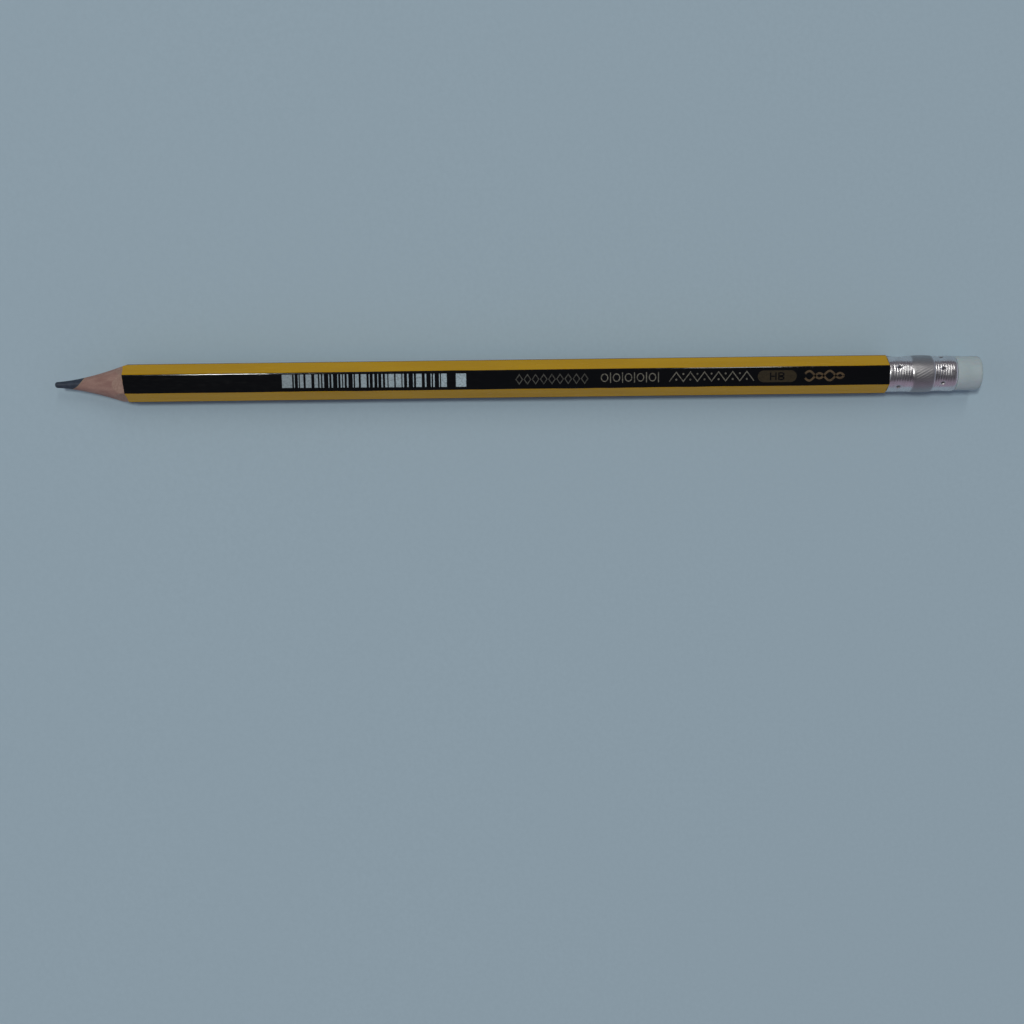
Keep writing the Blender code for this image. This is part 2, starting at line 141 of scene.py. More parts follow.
# Crimps: place along the ferrule, number around it and angle of the first
CRIMP_RINGS = ((2.05 * MM, 5, 27.0), (10.95 * MM, 7, 20.5))
CRIMP_HALF_LENGTH = 0.55 * MM
CRIMP_HALF_WIDTH = 0.38 * MM
CRIMP_TILT = math.radians(24)
CRIMP_DEPTH = 0.27 * MM
DIP_DEPTH = 0.085 * MM
DIP_REACH = 0.90 * MM

# Eraser
ERASER_RADIUS = 3.50 * MM
ERASER_COLUMNS = 160
ERASER_SHOULDER = 0.16 * MM
ERASER_EDGE_ROUNDING = 0.75 * MM
ERASER_END_CROWN = 0.10 * MM
ERASER_CLEARANCE = 0.06 * MM

# Prints on the top stripe
STROKE = 0.20 * MM
LETTER_STROKE = 0.26 * MM
WAVE_STROKE = 0.42 * MM
LEAN = 0.12 * MM
BARS_LEAN = 0.20 * MM
END_BAR = 2.1 * MM
BAR_WIDTHS = (0.18, 0.18, 0.30, 0.30, 0.46, 0.72, 1.15)
BAR_GAPS = (0.24, 0.32, 0.46, 0.64, 0.90)

# Floor, lamps and camera; the camera's angles are in degrees
FLOOR_HALF_SIDE = 2.5
FLOOR_STEPS = 40
FLOOR_CLEARANCE = 0.01 * MM
LAMP_DISTANCE = 3.0
LAMP_COLOUR = (0.98, 1.0, 0.95)
LENS = 45.0
CAMERA_PLACE = Vector((2.4595, 12.2254, 269.5416)) * MM
CAMERA_ANGLES = (-8.58619, 0.62190, -0.73413)


# ---------------------------------------------------------------- shapes


def around(angle, radius):
    """(y, z) points at angles around the axis."""
    turn = np.radians(angle)
    return np.stack((radius * np.sin(turn), radius * np.cos(turn)), axis=-1)


def hexagon(depth, first=0.0, last=360.0, corner_steps=10):
    """A round-cornered hexagon at a depth below the lacquer, while its normal turns from first to last."""
    flat_steps = 24
    whole = last - first == 360.0
    half_flat = LACQUER_HALF_FLAT - depth
    radius = LACQUER_CORNER_RADIUS - depth
    reach = (half_flat - radius) / math.cos(math.radians(30))
    arcs = []
    for corner in range(math.floor(first / 60), math.ceil(last / 60)):
        start = max(first, 60 * corner)
        end = min(last, 60 * corner + 60)
        angles = np.linspace(start, end, corner_steps + 1)
        arcs.append(around(60 * corner + 30, reach) + around(angles, radius))
    outline = [arcs[0]]
    for before, after in zip(arcs, arcs[1:] + arcs[: int(whole)]):
        share = np.linspace(0.0, 1.0, flat_steps + 1)[1:-1, None]
        outline.append(before[-1] + (after[0] - before[-1]) * share)
        outline.append(after)
    if whole:
        outline.pop()
    return np.concatenate(outline)


def wobble(place, seed, slowest):
    """Smooth noise between about -1 and 1 along a place: sines, the slowest of that wavelength."""
    waves = 9
    usual_peak = 1.9
    picker = random.Random(seed)
    total = np.zeros_like(np.asarray(place, float))
    for wave in range(waves):
        length = slowest / (1 + 0.8 * wave * picker.uniform(0.8, 1.2))
        total += np.sin(math.tau * (place / length + picker.random())) / (1 + 0.5 * wave)
    return total / usual_peak


def sharpened_radius(distance):
    """The cut's radius at distances from the blunt point, which has a rounded edge."""
    flare = POINT_FLAT_RADIUS + FLARE_AT_1_MM * (np.maximum(distance, 0.0) / MM) ** FLARE_POWER
    rounding = np.maximum(POINT_ROUNDING - distance, 0.0)
    return flare - POINT_ROUNDING + np.sqrt(np.maximum(POINT_ROUNDING**2 - rounding**2, 0.0))


def tilted_x(turn, dip):
    """The direction of an X axis that is dipped about Y and then turned about Z."""
    return np.array((
        math.cos(dip) * math.cos(turn),
        math.cos(dip) * math.sin(turn),
        -math.sin(dip),
    ))


def cut_x(outline):
    """Where the sharpening cut meets lines along X through (y, z) points."""
    direction = tilted_x(SHARPENER_TURN, SHARPENER_DIP)
    low, high = (np.full(len(outline), x) for x in CUT_SEARCH)
    for _ in range(CUT_HALVINGS):
        middle = (low + high) / 2
        offset = np.column_stack((middle, outline)) - np.array(SHARPENER_START)
        distance = offset @ direction
        radius = np.linalg.norm(offset - distance[:, None] * direction, axis=1)
        inside = (distance >= 0.0) & (radius <= sharpened_radius(distance))
        high = np.where(inside, middle, high)
        low = np.where(inside, low, middle)
    return high


def flaked_x(outline):
    """Where the lacquer starts on lines along X through (y, z) points: behind both cut and flaking."""
    direction = tilted_x(FLAKE_TURN, FLAKE_DIP)
    broken = FLAKE_START.x - outline @ direction[1:] / direction[0]
    return np.maximum(cut_x(outline), broken)


def loop_at(x, outline):
    """A loop of points in the frame, from one x or an x for each point and a (y, z) outline."""
    return np.column_stack((np.broadcast_to(x, len(outline)), outline + np.array((0.0, AXIS_Z))))


def wall(first_x, last_x, outline, rows, skip_first=True):
    """Loops along a straight wall, from an x for each point to one x."""
    return [
        loop_at(first_x + (last_x - first_x) * row / rows, outline)
        for row in range(1 if skip_first else 0, rows + 1)
    ]


def cut_face(inner, outer, steps, start_x=cut_x):
    """Loops over a cut surface between two outlines, from the inner one to the outer one.

    start_x gives where that surface is on lines along X: cut_x or flaked_x.
    """
    outlines = [inner + (outer - inner) * step / steps for step in range(steps + 1)]
    return [loop_at(start_x(outline), outline) for outline in outlines]


def lofted(loops, closed=True, joined=True):
    """A mesh through loops that have the same number of points.

    closed joins each loop's last point to its first, and an open loop's two sides are filled. joined
    joins the last loop to the first, and otherwise those two are filled. Returns points and faces.
    """
    count = len(loops[0])
    index = np.arange(len(loops) * count).reshape(len(loops), count)
    rows = np.vstack((index, index[:1])) if joined else index
    grid = np.hstack((rows, rows[:, :1])) if closed else rows
    corners = (grid[:-1, :-1], grid[1:, :-1], grid[1:, 1:], grid[:-1, 1:])
    faces = np.stack(corners, axis=-1).reshape(-1, 4).tolist()
    if not joined:
        faces += [index[0].tolist(), index[-1].tolist()]
    if not closed:
        faces += [index[:, 0].tolist(), index[:, -1].tolist()]
    return np.concatenate(loops), faces


def together(shapes):
    """Several shapes, which are points and faces, as one shape."""
    faces = []
    start = 0
    for points, own_faces in shapes:
        faces += [[index + start for index in face] for face in own_faces]
        start += len(points)
    return np.concatenate([points for points, _ in shapes]), faces


def make_piece(name, shape, finishes, stands_for, sharp_angle=35.0, finish_of=None):
    """A smooth-shaded object from points and faces, riding on the pencil in place of CAD nodes.

    Loops may share points or close up in places, so equal points are merged before it is finished.
    finish_of gives the place in finishes of each face's material, where there is more than one.
    """
    points, faces = shape
    mesh = bpy.data.meshes.new(name)
    mesh.from_pydata(points.tolist(), [], faces)
    for finish in finishes:
        mesh.materials.append(finish)
    if finish_of is not None:
        mesh.polygons.foreach_set("material_index", np.array(finish_of, dtype=np.int32))
    fixed = bmesh.new()
    fixed.from_mesh(mesh)
    bmesh.ops.remove_doubles(fixed, verts=fixed.verts, dist=SAME_POINT)
    bmesh.ops.recalc_face_normals(fixed, faces=fixed.faces)
    fixed.to_mesh(mesh)
    fixed.free()
    mesh.shade_smooth()
    mesh.set_sharp_from_angle(angle=math.radians(sharp_angle))
    piece = bpy.data.objects.new(name, mesh)
    bpy.context.scene.collection.objects.link(piece)
    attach(piece, "root")
    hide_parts(*stands_for)
    return piece


# ---------------------------------------------------------------- materials


def node(tree, kind, inputs=None, **attributes):
    """A shader node. A socket given as an input is linked, and anything else is its value."""
    made = tree.nodes.new(kind)
    for name, value in attributes.items():
        setattr(made, name, value)
    for name, value in (inputs or {}).items():
        if isinstance(value, bpy.types.NodeSocket):
            tree.links.new(value, made.inputs[name])
        else:
            made.inputs[name].default_value = value
    return made


def position(tree, stretch=(1.0, 1.0, 1.0)):
    """The place on the object in millimetres, each axis multiplied by its stretch."""
    coordinates = node(tree, "ShaderNodeTexCoord")
    inputs = {"Vector": coordinates.outputs["Object"], "Scale": [value / MM for value in stretch]}
    return node(tree, "ShaderNodeMapping", inputs).outputs[0]


def noise(tree, stretch, detail=4.0, roughness=0.55):
    """Noise with stretch cycles in a millimetre along each axis, between 0 and 1."""
    inputs = {
        "Vector": position(tree, stretch),
        "Scale": 1.0,
        "Detail": detail,
        "Roughness": roughness,
    }
    return node(tree, "ShaderNodeTexNoise", inputs).outputs[0]


def axis_radius(tree):
    """The distance from the pencil's axis, in millimetres."""
    centred = vector_maths(tree, "SUBTRACT", position(tree), (0.0, 0.0, AXIS_Z / MM)).outputs[0]
    across = vector_maths(tree, "MULTIPLY", centred, (0.0, 1.0, 1.0)).outputs[0]
    return vector_maths(tree, "LENGTH", across).outputs["Value"]


def vector_maths(tree, operation, first, second=(0.0, 0.0, 0.0)):
    """One arithmetic step on vectors."""
    return node(tree, "ShaderNodeVectorMath", {0: first, 1: second}, operation=operation)


def maths(tree, operation, first, second=0.0):
    """One arithmetic step on numbers or sockets."""
    return node(tree, "ShaderNodeMath", {0: first, 1: second}, operation=operation).outputs[0]


def between(tree, value, low, high, new_low=0.0, new_high=1.0):
    """value remapped from low..high to new_low..new_high, and held at the ends."""
    inputs = {"Value": value, 1: low, 2: high, 3: new_low, 4: new_high}
    return node(tree, "ShaderNodeMapRange", inputs).outputs[0]


def mixed(tree, factor, first, second):
    """Two colours mixed by a factor."""
    inputs = {0: factor, 6: first, 7: second}
    return node(tree, "ShaderNodeMix", inputs, data_type="RGBA").outputs[2]


def bumped(tree, height, distance, strength=1.0, under=None):
    """A normal from a height between 0 and 1 that is distance high."""
    inputs = {"Height": height, "Distance": distance, "Strength": strength}
    if under is not None:
        inputs["Normal"] = under
    return node(tree, "ShaderNodeBump", inputs).outputs[0]


def rgb(red, green, blue):
    return (red, green, blue, 1.0)


def new_material(name, metallic=0.0, **values):
    """An empty Principled material. values are constants on its shader's sockets."""
    made = bpy.data.materials.new(name)
    made.use_nodes = True
    shader = made.node_tree.nodes["Principled BSDF"]
    shader.inputs["Metallic"].default_value = metallic
    for socket, value in values.items():
        shader.inputs[socket.replace("_", " ")].default_value = value
    return made, made.node_tree, shader


def finish_with(tree, shader, colour, roughness, normal=None):
    """Joins a material's colour, roughness and normal to its shader."""
    tree.links.new(colour, shader.inputs["Base Color"])
    tree.links.new(roughness, shader.inputs["Roughness"])
    if normal is not None:
        tree.links.new(normal, shader.inputs["Normal"])


def lacquer(name, colour, deep, dust, roughness, sheen):
    """Gloss lacquer over wood: faint grain ridges, orange peel, pinholes of dust and fine scratches."""
    made, tree, shader = new_material(name, IOR=1.5, Specular_IOR_Level=sheen)
    drift = noise(tree, (0.05, 0.4, 0.4), detail=3.0)
    streaks = noise(tree, (0.12, 3.0, 3.0), detail=3.0)
    specks = between(tree, noise(tree, (5.0, 5.0, 5.0), detail=2.0), 0.70, 0.78)
    tone = mixed(tree, between(tree, drift, 0.3, 0.7), rgb(*colour), rgb(*deep))
    tone = mixed(tree, between(tree, streaks, 0.35, 0.75, 0.0, 0.35), tone, rgb(*deep))
    tone = mixed(tree, maths(tree, "MULTIPLY", specks, 0.35), tone, rgb(*dust))
    scratches = between(tree, noise(tree, (0.5, 9.0, 9.0), detail=1.0), 0.62, 0.70)
    rough = between(tree, noise(tree, (0.6, 1.5, 1.5)), 0.3, 0.7, roughness * 0.8, roughness * 1.3)
    rough = maths(tree, "ADD", rough, maths(tree, "MULTIPLY", scratches, 0.08))
    peel = bumped(tree, noise(tree, (0.9, 1.3, 1.3), detail=2.0), 0.004 * MM)
    grain = bumped(tree, streaks, 0.004 * MM, under=peel)
    finish_with(tree, shader, tone, rough, grain)
    return made


def cut_lacquer():
    """The layers of primer and paint that the sharpener has cut through, pale and slightly ragged."""
    made, tree, shader = new_material("lacquer_cut_edge", IOR=1.45)
    layers = noise(tree, (6.0, 6.0, 6.0), detail=3.0)
    tone = mixed(tree, between(tree, layers, 0.35, 0.65), rgb(0.56, 0.45, 0.30), rgb(0.44, 0.33, 0.20))
    rough = between(tree, layers, 0.0, 1.0, 0.5, 0.7)
    finish_with(tree, shader, tone, rough, bumped(tree, layers, 0.01 * MM))
    return made


def primed_wood():
    """The uncut wood that flaked lacquer has bared, a little paler than the cut."""
    made, tree, shader = new_material("primed_wood", IOR=1.45)
    fibres = noise(tree, (0.8, 9.0, 9.0), detail=4.0)
    patches = noise(tree, (3.0, 2.0, 2.0), detail=3.0)
    tone = mixed(tree, between(tree, patches, 0.35, 0.65), rgb(0.44, 0.285, 0.225), rgb(0.36, 0.215, 0.172))
    tone = mixed(tree, between(tree, fibres, 0.4, 0.75, 0.0, 0.4), tone, rgb(0.27, 0.165, 0.130))
    rough = between(tree, patches, 0.2, 0.8, 0.55, 0.7)
    finish_with(tree, shader, tone, rough, bumped(tree, fibres, 0.015 * MM))
    return made


def wood(name, light, dark, seed):
    """Sharpened softwood: growth bands and fibres along the pencil, pores and faint turning marks."""
    made, tree, shader = new_material(name, IOR=1.45)
    place = vector_maths(tree, "ADD", position(tree, (0.035, 0.8, 0.8)), (seed, 0.0, seed)).outputs[0]
    bands = node(tree, "ShaderNodeTexNoise", {"Vector": place, "Scale": 1.0, "Detail": 3.0}).outputs[0]
    fibres = noise(tree, (0.55, 9.0, 9.0), detail=5.0, roughness=0.65)
    pores = between(tree, noise(tree, (0.9, 14.0, 14.0), detail=2.0), 0.60, 0.72)
    turning = noise(tree, (9.0, 0.9, 0.9), detail=2.0)
    tone = mixed(tree, between(tree, bands, 0.38, 0.62), rgb(*light), rgb(*dark))
    tone = mixed(tree, between(tree, fibres, 0.3, 0.75, 0.0, 0.45), tone, rgb(*[0.72 * c for c in dark]))
    tone = mixed(tree, maths(tree, "MULTIPLY", pores, 0.4), tone, rgb(*[0.45 * c for c in dark]))
    normal = bumped(tree, fibres, 0.022 * MM)
    normal = bumped(tree, turning, 0.008 * MM, under=normal)
    finish_with(tree, shader, tone, between(tree, fibres, 0.2, 0.8, 0.55, 0.75), normal)
    return made


def graphite():
    """The sharpened lead: a burnished dark grey with rings from turning and small pits."""
    made, tree, shader = new_material("graphite", metallic=0.1, IOR=1.5)
    rings = noise(tree, (11.0, 0.7, 0.7), detail=3.0)
    smears = noise(tree, (1.2, 2.5, 2.5), detail=4.0)
    pits = between(tree, noise(tree, (8.0, 8.0, 8.0), detail=2.0), 0.66, 0.74)
    tone = mixed(tree, between(tree, smears, 0.35, 0.7), rgb(0.022, 0.032, 0.052), rgb(0.044, 0.060, 0.094))
    tone = mixed(tree, maths(tree, "MULTIPLY", pits, 0.6), tone, rgb(0.01, 0.012, 0.015))
    normal = bumped(tree, rings, 0.012 * MM)
    normal = bumped(tree, pits, 0.01 * MM, strength=0.6, under=normal)
    finish_with(tree, shader, tone, between(tree, smears, 0.3, 0.7, 0.46, 0.60), normal)
    return made


def aluminium():
    """Rolled aluminium: bright, but rougher and painted darker as shade in its crimps and on its raised
    band, with fine rubbed lines.
    """
    made, tree, shader = new_material("aluminium", metallic=1.0)
    lines = noise(tree, (16.0, 0.35, 0.35), detail=3.0)
    cloud = noise(tree, (0.5, 0.6, 0.6), detail=5.0, roughness=0.65)
    # Painted shade in the crimps: their hollows are mixed towards dark grey.
    low = between(tree, axis_radius(tree), 3.38, 3.54, 1.0, 0.0)
    tone = mixed(tree, between(tree, cloud, 0.35, 0.7), rgb(0.80, 0.78, 0.80), rgb(0.66, 0.64, 0.66))
    tone = mixed(tree, low, tone, rgb(0.16, 0.15, 0.16))
    # Painted shade on the raised band: the metal is darkened where its hatching scatters the light away.
    band = between(tree, axis_radius(tree), 3.66, 3.72)
    tone = mixed(tree, maths(tree, "MULTIPLY", band, 0.75), tone, rgb(0.30, 0.29, 0.30))
    rough = between(tree, cloud, 0.3, 0.7, 0.20, 0.34)
    rough = maths(tree, "ADD", rough, maths(tree, "MULTIPLY", band, 0.16))
    rough = maths(tree, "ADD", rough, maths(tree, "MULTIPLY", low, 0.35))
    normal = bumped(tree, lines, 0.004 * MM)
    normal = bumped(tree, noise(tree, (1.6, 1.6, 1.6), detail=3.0), 0.010 * MM, under=normal)
    finish_with(tree, shader, tone, rough, normal)
    return made


def rubber():
    """Matt white rubber with a faint green cast, filler specks, rubbed patches and darker grey patches
    towards its end.
    """
    soft = {"Subsurface_Weight": 0.12, "Subsurface_Scale": 0.6 * MM}
    made, tree, shader = new_material("white_rubber", IOR=1.45, **soft)
    cloud = noise(tree, (0.35, 0.45, 0.45), detail=4.0)
    specks = between(tree, noise(tree, (7.0, 7.0, 7.0), detail=2.0), 0.66, 0.76)
    place = node(tree, "ShaderNodeSeparateXYZ", {0: position(tree)}).outputs[0]
    end = between(tree, place, ERASER_END_X / MM - 1.0, ERASER_END_X / MM, 0.0, 0.5)
    tone = mixed(tree, between(tree, cloud, 0.35, 0.7), rgb(0.53, 0.61, 0.63), rgb(0.47, 0.55, 0.57))
    tone = mixed(tree, maths(tree, "MULTIPLY", specks, 0.25), tone, rgb(0.34, 0.38, 0.37))
    # Darker grey patches, growing over the last millimetre towards the end.
    end_patches = maths(tree, "MULTIPLY", end, between(tree, noise(tree, (1.2, 1.2, 1.2)), 0.35, 0.65))
    tone = mixed(tree, end_patches, tone, rgb(0.30, 0.34, 0.34))
    normal = bumped(tree, noise(tree, (3.0, 3.0, 3.0), detail=5.0, roughness=0.6), 0.02 * MM)
    finish_with(tree, shader, tone, between(tree, cloud, 0.3, 0.7, 0.62, 0.8), normal)
    return made


def white_ink():
    """Thin white printing ink, uneven where the black lacquer shows through it."""
    made, tree, shader = new_material("white_ink", IOR=1.45)
    cover = noise(tree, (2.2, 2.6, 2.6), detail=5.0, roughness=0.7)
    low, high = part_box("ink_bar_code")
    along = node(tree, "ShaderNodeSeparateXYZ", {0: position(tree)}).outputs[0]
    # The ink is mixed from darker to lighter towards the eraser end.
    lighter_towards_eraser = between(tree, along, low.x / MM, high.x / MM)
    ink = mixed(tree, lighter_towards_eraser, rgb(0.30, 0.37, 0.40), rgb(0.48, 0.60, 0.66))
    tone = mixed(tree, between(tree, cover, 0.44, 0.72), ink, rgb(0.16, 0.19, 0.21))
    rough = between(tree, cover, 0.3, 0.7, 0.35, 0.55)
    finish_with(tree, shader, tone, rough, bumped(tree, cover, 0.002 * MM))
    return made


def gold_foil(name, bright, worn):
    """Hot-stamped foil, dull gold, rubbed through to black in places."""
    made, tree, shader = new_material(name, metallic=0.6)
    rubbed = between(tree, noise(tree, (1.8, 2.4, 2.4), detail=5.0, roughness=0.7), 0.42, 0.68)
    tone = mixed(tree, rubbed, rgb(*bright), rgb(*worn))
    fine = noise(tree, (7.0, 7.0, 7.0), detail=2.0)
    rough = between(tree, rubbed, 0.0, 1.0, 0.42, 0.6)
    finish_with(tree, shader, tone, rough, bumped(tree, fine, 0.003 * MM))
    return made


def glue():
    """Dried glue: amber and a little uneven."""
    made, tree, shader = new_material("glue", IOR=1.5)
    cloud = noise(tree, (1.0, 2.0, 2.0), detail=3.0)
    tone = mixed(tree, between(tree, cloud, 0.3, 0.7), rgb(0.36, 0.25, 0.17), rgb(0.24, 0.16, 0.11))
    rough = between(tree, cloud, 0.0, 1.0, 0.4, 0.6)
    finish_with(tree, shader, tone, rough, bumped(tree, cloud, 0.005 * MM))
    return made


def paper():
    """Smooth pale blue-grey paper with fine fibres."""
    made, tree, shader = new_material("paper", IOR=1.45, Specular_IOR_Level=0.2)
    fibres = noise(tree, (1.1, 1.1, 1.1), detail=6.0, roughness=0.6)
    cloud = noise(tree, (0.02, 0.02, 0.02), detail=2.0)
    tone = mixed(tree, between(tree, fibres, 0.3, 0.7), rgb(0.500, 0.632, 0.722), rgb(0.476, 0.606, 0.694))
    tone = mixed(tree, between(tree, cloud, 0.35, 0.65, 0.0, 0.5), tone, rgb(0.486, 0.616, 0.705))
    rough = between(tree, fibres, 0.0, 1.0, 0.85, 0.95)
    finish_with(tree, shader, tone, rough, bumped(tree, fibres, 0.01 * MM))
    return made


# ---------------------------------------------------------------- core and wood


def evenly_around(columns):
    """Angles that are spread evenly around the axis."""
    return np.arange(columns) * 360.0 / columns


def core_circle(radius):
    """A closed circle around the core's axis, as (y, z) points."""
    return around(evenly_around(CORE_COLUMNS), radius) + np.array((CORE_OFFSET_Y, 0.0))


def make_core():
    """The graphite core: its sharpened point, set back a little unevenly, and the rod inside the wood."""
    steps = 72
    setback = 0.02 * MM
    rim = core_circle(CORE_RADIUS)
    face = cut_face(core_circle(0.01 * CORE_RADIUS), rim, steps)
    for step, loop in enumerate(face):
        place = loop[:, 1] * 700 + loop[:, 2] * 400
        loop[:, 0] += setback * step / steps * (1.5 + wobble(place, 31, 1.0))
    rod = wall(face[-1][:, 0], TENON_END_X, rim, 8)
    shape = lofted(face + rod, joined=False)
    make_piece("lead", shape, [graphite()], ["graphite_core"], sharp_angle=50)


def make_core_glue(finish):
    """The sleeve of glue around the core."""
    inner = core_circle(CORE_GLUE_INNER_RADIUS)
    outer = core_circle(CORE_GLUE_OUTER_RADIUS)
    face = cut_face(inner, outer, 1)
    outside = wall(face[-1][:, 0], TENON_END_X, outer, 6)
    inside = wall(face[0][:, 0], TENON_END_X, inner, 6)[::-1]
    make_piece("core_glue", lofted(face + outside + inside), [finish], ["core_glue_sleeve"])


def outward_angle(outline, centre_y=0.0):
    """The angle of each (y, z) point as seen from a point on the y axis."""
    return np.degrees(np.arctan2(outline[:, 0] - centre_y, outline[:, 1]))


def make_slat(name, side, node_name, finish, primed):
    """Half of the wood: its sharpened face, six-sided outside, tenon and groove. side is 1 or -1.

    primed is the finish of the uncut strip that the flaked lacquer has bared.
    """
    corner_radius = LACQUER_CORNER_RADIUS - WOOD_DEPTH
    corner = math.degrees(math.acos(SEAM_HALF_GAP / corner_radius))
    outer = hexagon(WOOD_DEPTH, -corner, corner)
    seam_at = math.degrees(math.acos(SEAM_HALF_GAP / GROOVE_RADIUS))
    groove_angle = np.clip(outward_angle(outer, CORE_OFFSET_Y), -seam_at, seam_at)
    groove = around(groove_angle, GROOVE_RADIUS) + np.array((CORE_OFFSET_Y, 0.0))
    seam_at = math.degrees(math.acos(SEAM_HALF_GAP / TENON_RADIUS))
    tenon_angle = np.clip(outward_angle(outer), -seam_at, seam_at)
    flip = np.array((1.0, side))

    cut_steps = 64
    strip_steps = 4
    barrel_rows = 24
    tenon_rows = 36
    face = cut_face(groove * flip, outer * flip, cut_steps)
    bared = flaked_x(outer * flip) + STRIP_SETBACK
    strip = wall(face[-1][:, 0], bared, outer * flip, strip_steps)
    barrel = wall(bared, BARREL_END_X, outer * flip, barrel_rows)
    shown_angle = tenon_angle if side > 0 else 180.0 - tenon_angle
    tenon = []
    for x in np.linspace(BARREL_END_X, TENON_END_X, tenon_rows + 1):
        reach = np.minimum(TENON_RADIUS, bore_radius(x - FERRULE_X, shown_angle) - ERASER_CLEARANCE)
        outline = around(tenon_angle, reach)
        outline[:, 1] = np.maximum(outline[:, 1], SEAM_HALF_GAP)
        tenon.append(loop_at(x, outline * flip))
    inside = wall(face[0][:, 0], TENON_END_X, groove * flip, barrel_rows)[::-1]
    points, faces = lofted(face + strip + barrel + tenon + inside, closed=False)
    row = len(outer) - 1
    finish_of = np.zeros(len(faces), int)
    finish_of[cut_steps * row : (cut_steps + strip_steps) * row] = 1
    make_piece(
        name, (points, faces), [finish, primed], [node_name], sharp_angle=40, finish_of=finish_of
    )


def make_seam_glue(name, side, node_name, finish):
    """The glue between the slats on one side of the core, with a flush sharpened end."""
    gap = 0.01 * MM
    corner = hexagon(WOOD_DEPTH)[:, 0].max()
    near = side * (GROOVE_RADIUS + gap) + CORE_OFFSET_Y

    def across_to(far):
        place = np.linspace(near, side * far, SEAM_GLUE_COLUMNS)
        return np.column_stack((place, np.full_like(place, SEAM_GLUE_HALF)))

    down = np.array((1.0, -1.0))
    upper = across_to(corner - gap)
    inner = across_to(TENON_RADIUS - TENON_GLUE_SETBACK)
    face = cut_face(upper * down, upper, 1)
    barrel_top = wall(face[-1][:, 0], BARREL_END_X, upper, 8)
    barrel_low = wall(face[0][:, 0], BARREL_END_X, upper * down, 8)[::-1]
    tenon_top = wall(BARREL_END_X, TENON_END_X, inner, 2, skip_first=False)
    tenon_low = wall(BARREL_END_X, TENON_END_X, inner * down, 2, skip_first=False)[::-1]
    shape = lofted(face + barrel_top + tenon_top + tenon_low + barrel_low, closed=False)
    make_piece(name, shape, [finish], [node_name])


# ---------------------------------------------------------------- lacquer and prints


def make_coat(yellow, edge):
    """The yellow lacquer over the wood, with its pale cut edge around the sharpening."""
    steps = 6
    outer = hexagon(0.0)
    inner = hexagon(LACQUER_THICKNESS)
    face = cut_face(inner, outer, steps, start_x=flaked_x)
    ragged = 0.05 * MM * wobble(np.arange(len(outer)) * 1.0, 5, 29.0) + 0.02 * MM
    for step, loop in enumerate(face):
        loop[:, 0] += ragged * (step / steps)
    outside = wall(face[-1][:, 0], BARREL_END_X, outer, 40)
    inside = wall(face[0][:, 0], BARREL_END_X, inner, 8)[::-1]
    points, faces = lofted(face + outside + inside)
    finish_of = np.zeros(len(faces), int)
    finish_of[: steps * len(outer)] = 1
    make_piece(
        "lacquer_coat", (points, faces), [yellow, edge], ["yellow_lacquer_coat"],
        finish_of=finish_of,
    )


def make_stripe(name, angle, node_name, finish, seed):
    """One black stripe, on the flat that faces angle, with slightly unsteady edges."""
    rows = 150
    sway = 5.0
    sway_length = 40 * MM
    raggedness = 0.03 * MM

    def outline(depth, x):
        first = angle - 30 + sway * float(wobble(x, seed, sway_length))
        last = angle + 30 + sway * float(wobble(x, seed + 1, sway_length))
        return hexagon(depth, first, last, corner_steps=8)

    def side_loops(depth):
        loops = []
        front = flaked_x(outline(depth, BARREL_FRONT_X))
        front += raggedness * wobble(np.arange(len(front)) * 1.0, seed + 2, 17.0)
        for row in range(rows + 1):
            x = front + (BARREL_END_X - front) * row / rows
            loops.append(loop_at(x, outline(depth, float(x.mean()))))
        return loops

    shape = lofted(side_loops(STRIPE_TOP_DEPTH) + side_loops(STRIPE_BOTTOM_DEPTH)[::-1], closed=False)
    make_piece(name, shape, [finish], [node_name])


def print_area(node_name):
    """A print's box from the frame: first and last x, half its width, and its bottom and top height."""
    low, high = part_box(node_name)
    return low.x, high.x, (high.y - low.y) / 2, low.z, high.z


def raised(outline, z):
    """(x, y) points at a height."""
    return np.column_stack((outline, np.full(len(outline), z)))


def plate(outline, bottom, top):
    """A thin plate with a closed (x, y) outline."""
    return lofted([raised(outline, bottom), raised(outline, top)], joined=False)


def bar_outline(first, last, low, high, seed):
    """A printed bar with slightly soft, uneven sides."""
    steps = 7
    softness = 0.012 * MM
    y = np.linspace(low, high, steps + 1)
    left = first + softness * wobble(y, seed, 2 * MM)
    right = last + softness * wobble(y, seed + 1, 2 * MM)
    return list(zip(left, y)) + list(zip(right[::-1], y[::-1]))


def make_bar_code(finish):
    """A made-up bar pattern with a wide bar at each end; it encodes nothing."""
    first, last, half, bottom, top = print_area("ink_bar_code")
    picker = random.Random(2027)
    x = first + END_BAR + 0.35 * MM
    spans = [(first, first + END_BAR)]
    while x < last - END_BAR - 1.4 * MM:
        width = picker.choice(BAR_WIDTHS) * MM
        spans.append((x, x + width))
        x += width + picker.choice(BAR_GAPS) * MM
    spans.append((last - END_BAR, last))
    reach = 0.93 * half
    bars = []
    for number, (start, end) in enumerate(spans):
        lean = BARS_LEAN * (last - start) / (last - first)
        outline = bar_outline(start, end, lean - reach, lean + reach, 50 + 2 * number)
        bars.append(plate(outline, bottom, top))
    make_piece("bar_pattern", together(bars), [finish], ["ink_bar_code"])


def line_sides(path, closed, width):
    """The left and right sides of a line of (x, y) points, of an even width."""
    line = np.array(path, float)
    after = np.roll(line, -1, axis=0) - line
    before = line - np.roll(line, 1, axis=0)
    if not closed:
        after[-1] = before[-1]
        before[0] = after[0]
    along_after = after / np.linalg.norm(after, axis=1)[:, None]
    along_before = before / np.linalg.norm(before, axis=1)[:, None]
    middle = along_after + along_before
    middle /= np.linalg.norm(middle, axis=1)[:, None]
    normal = np.column_stack((-middle[:, 1], middle[:, 0]))
    spread = np.maximum((middle * along_after).sum(1), 0.4)
    reach = normal * (width / 2 / spread)[:, None]
    return line + reach, line - reach


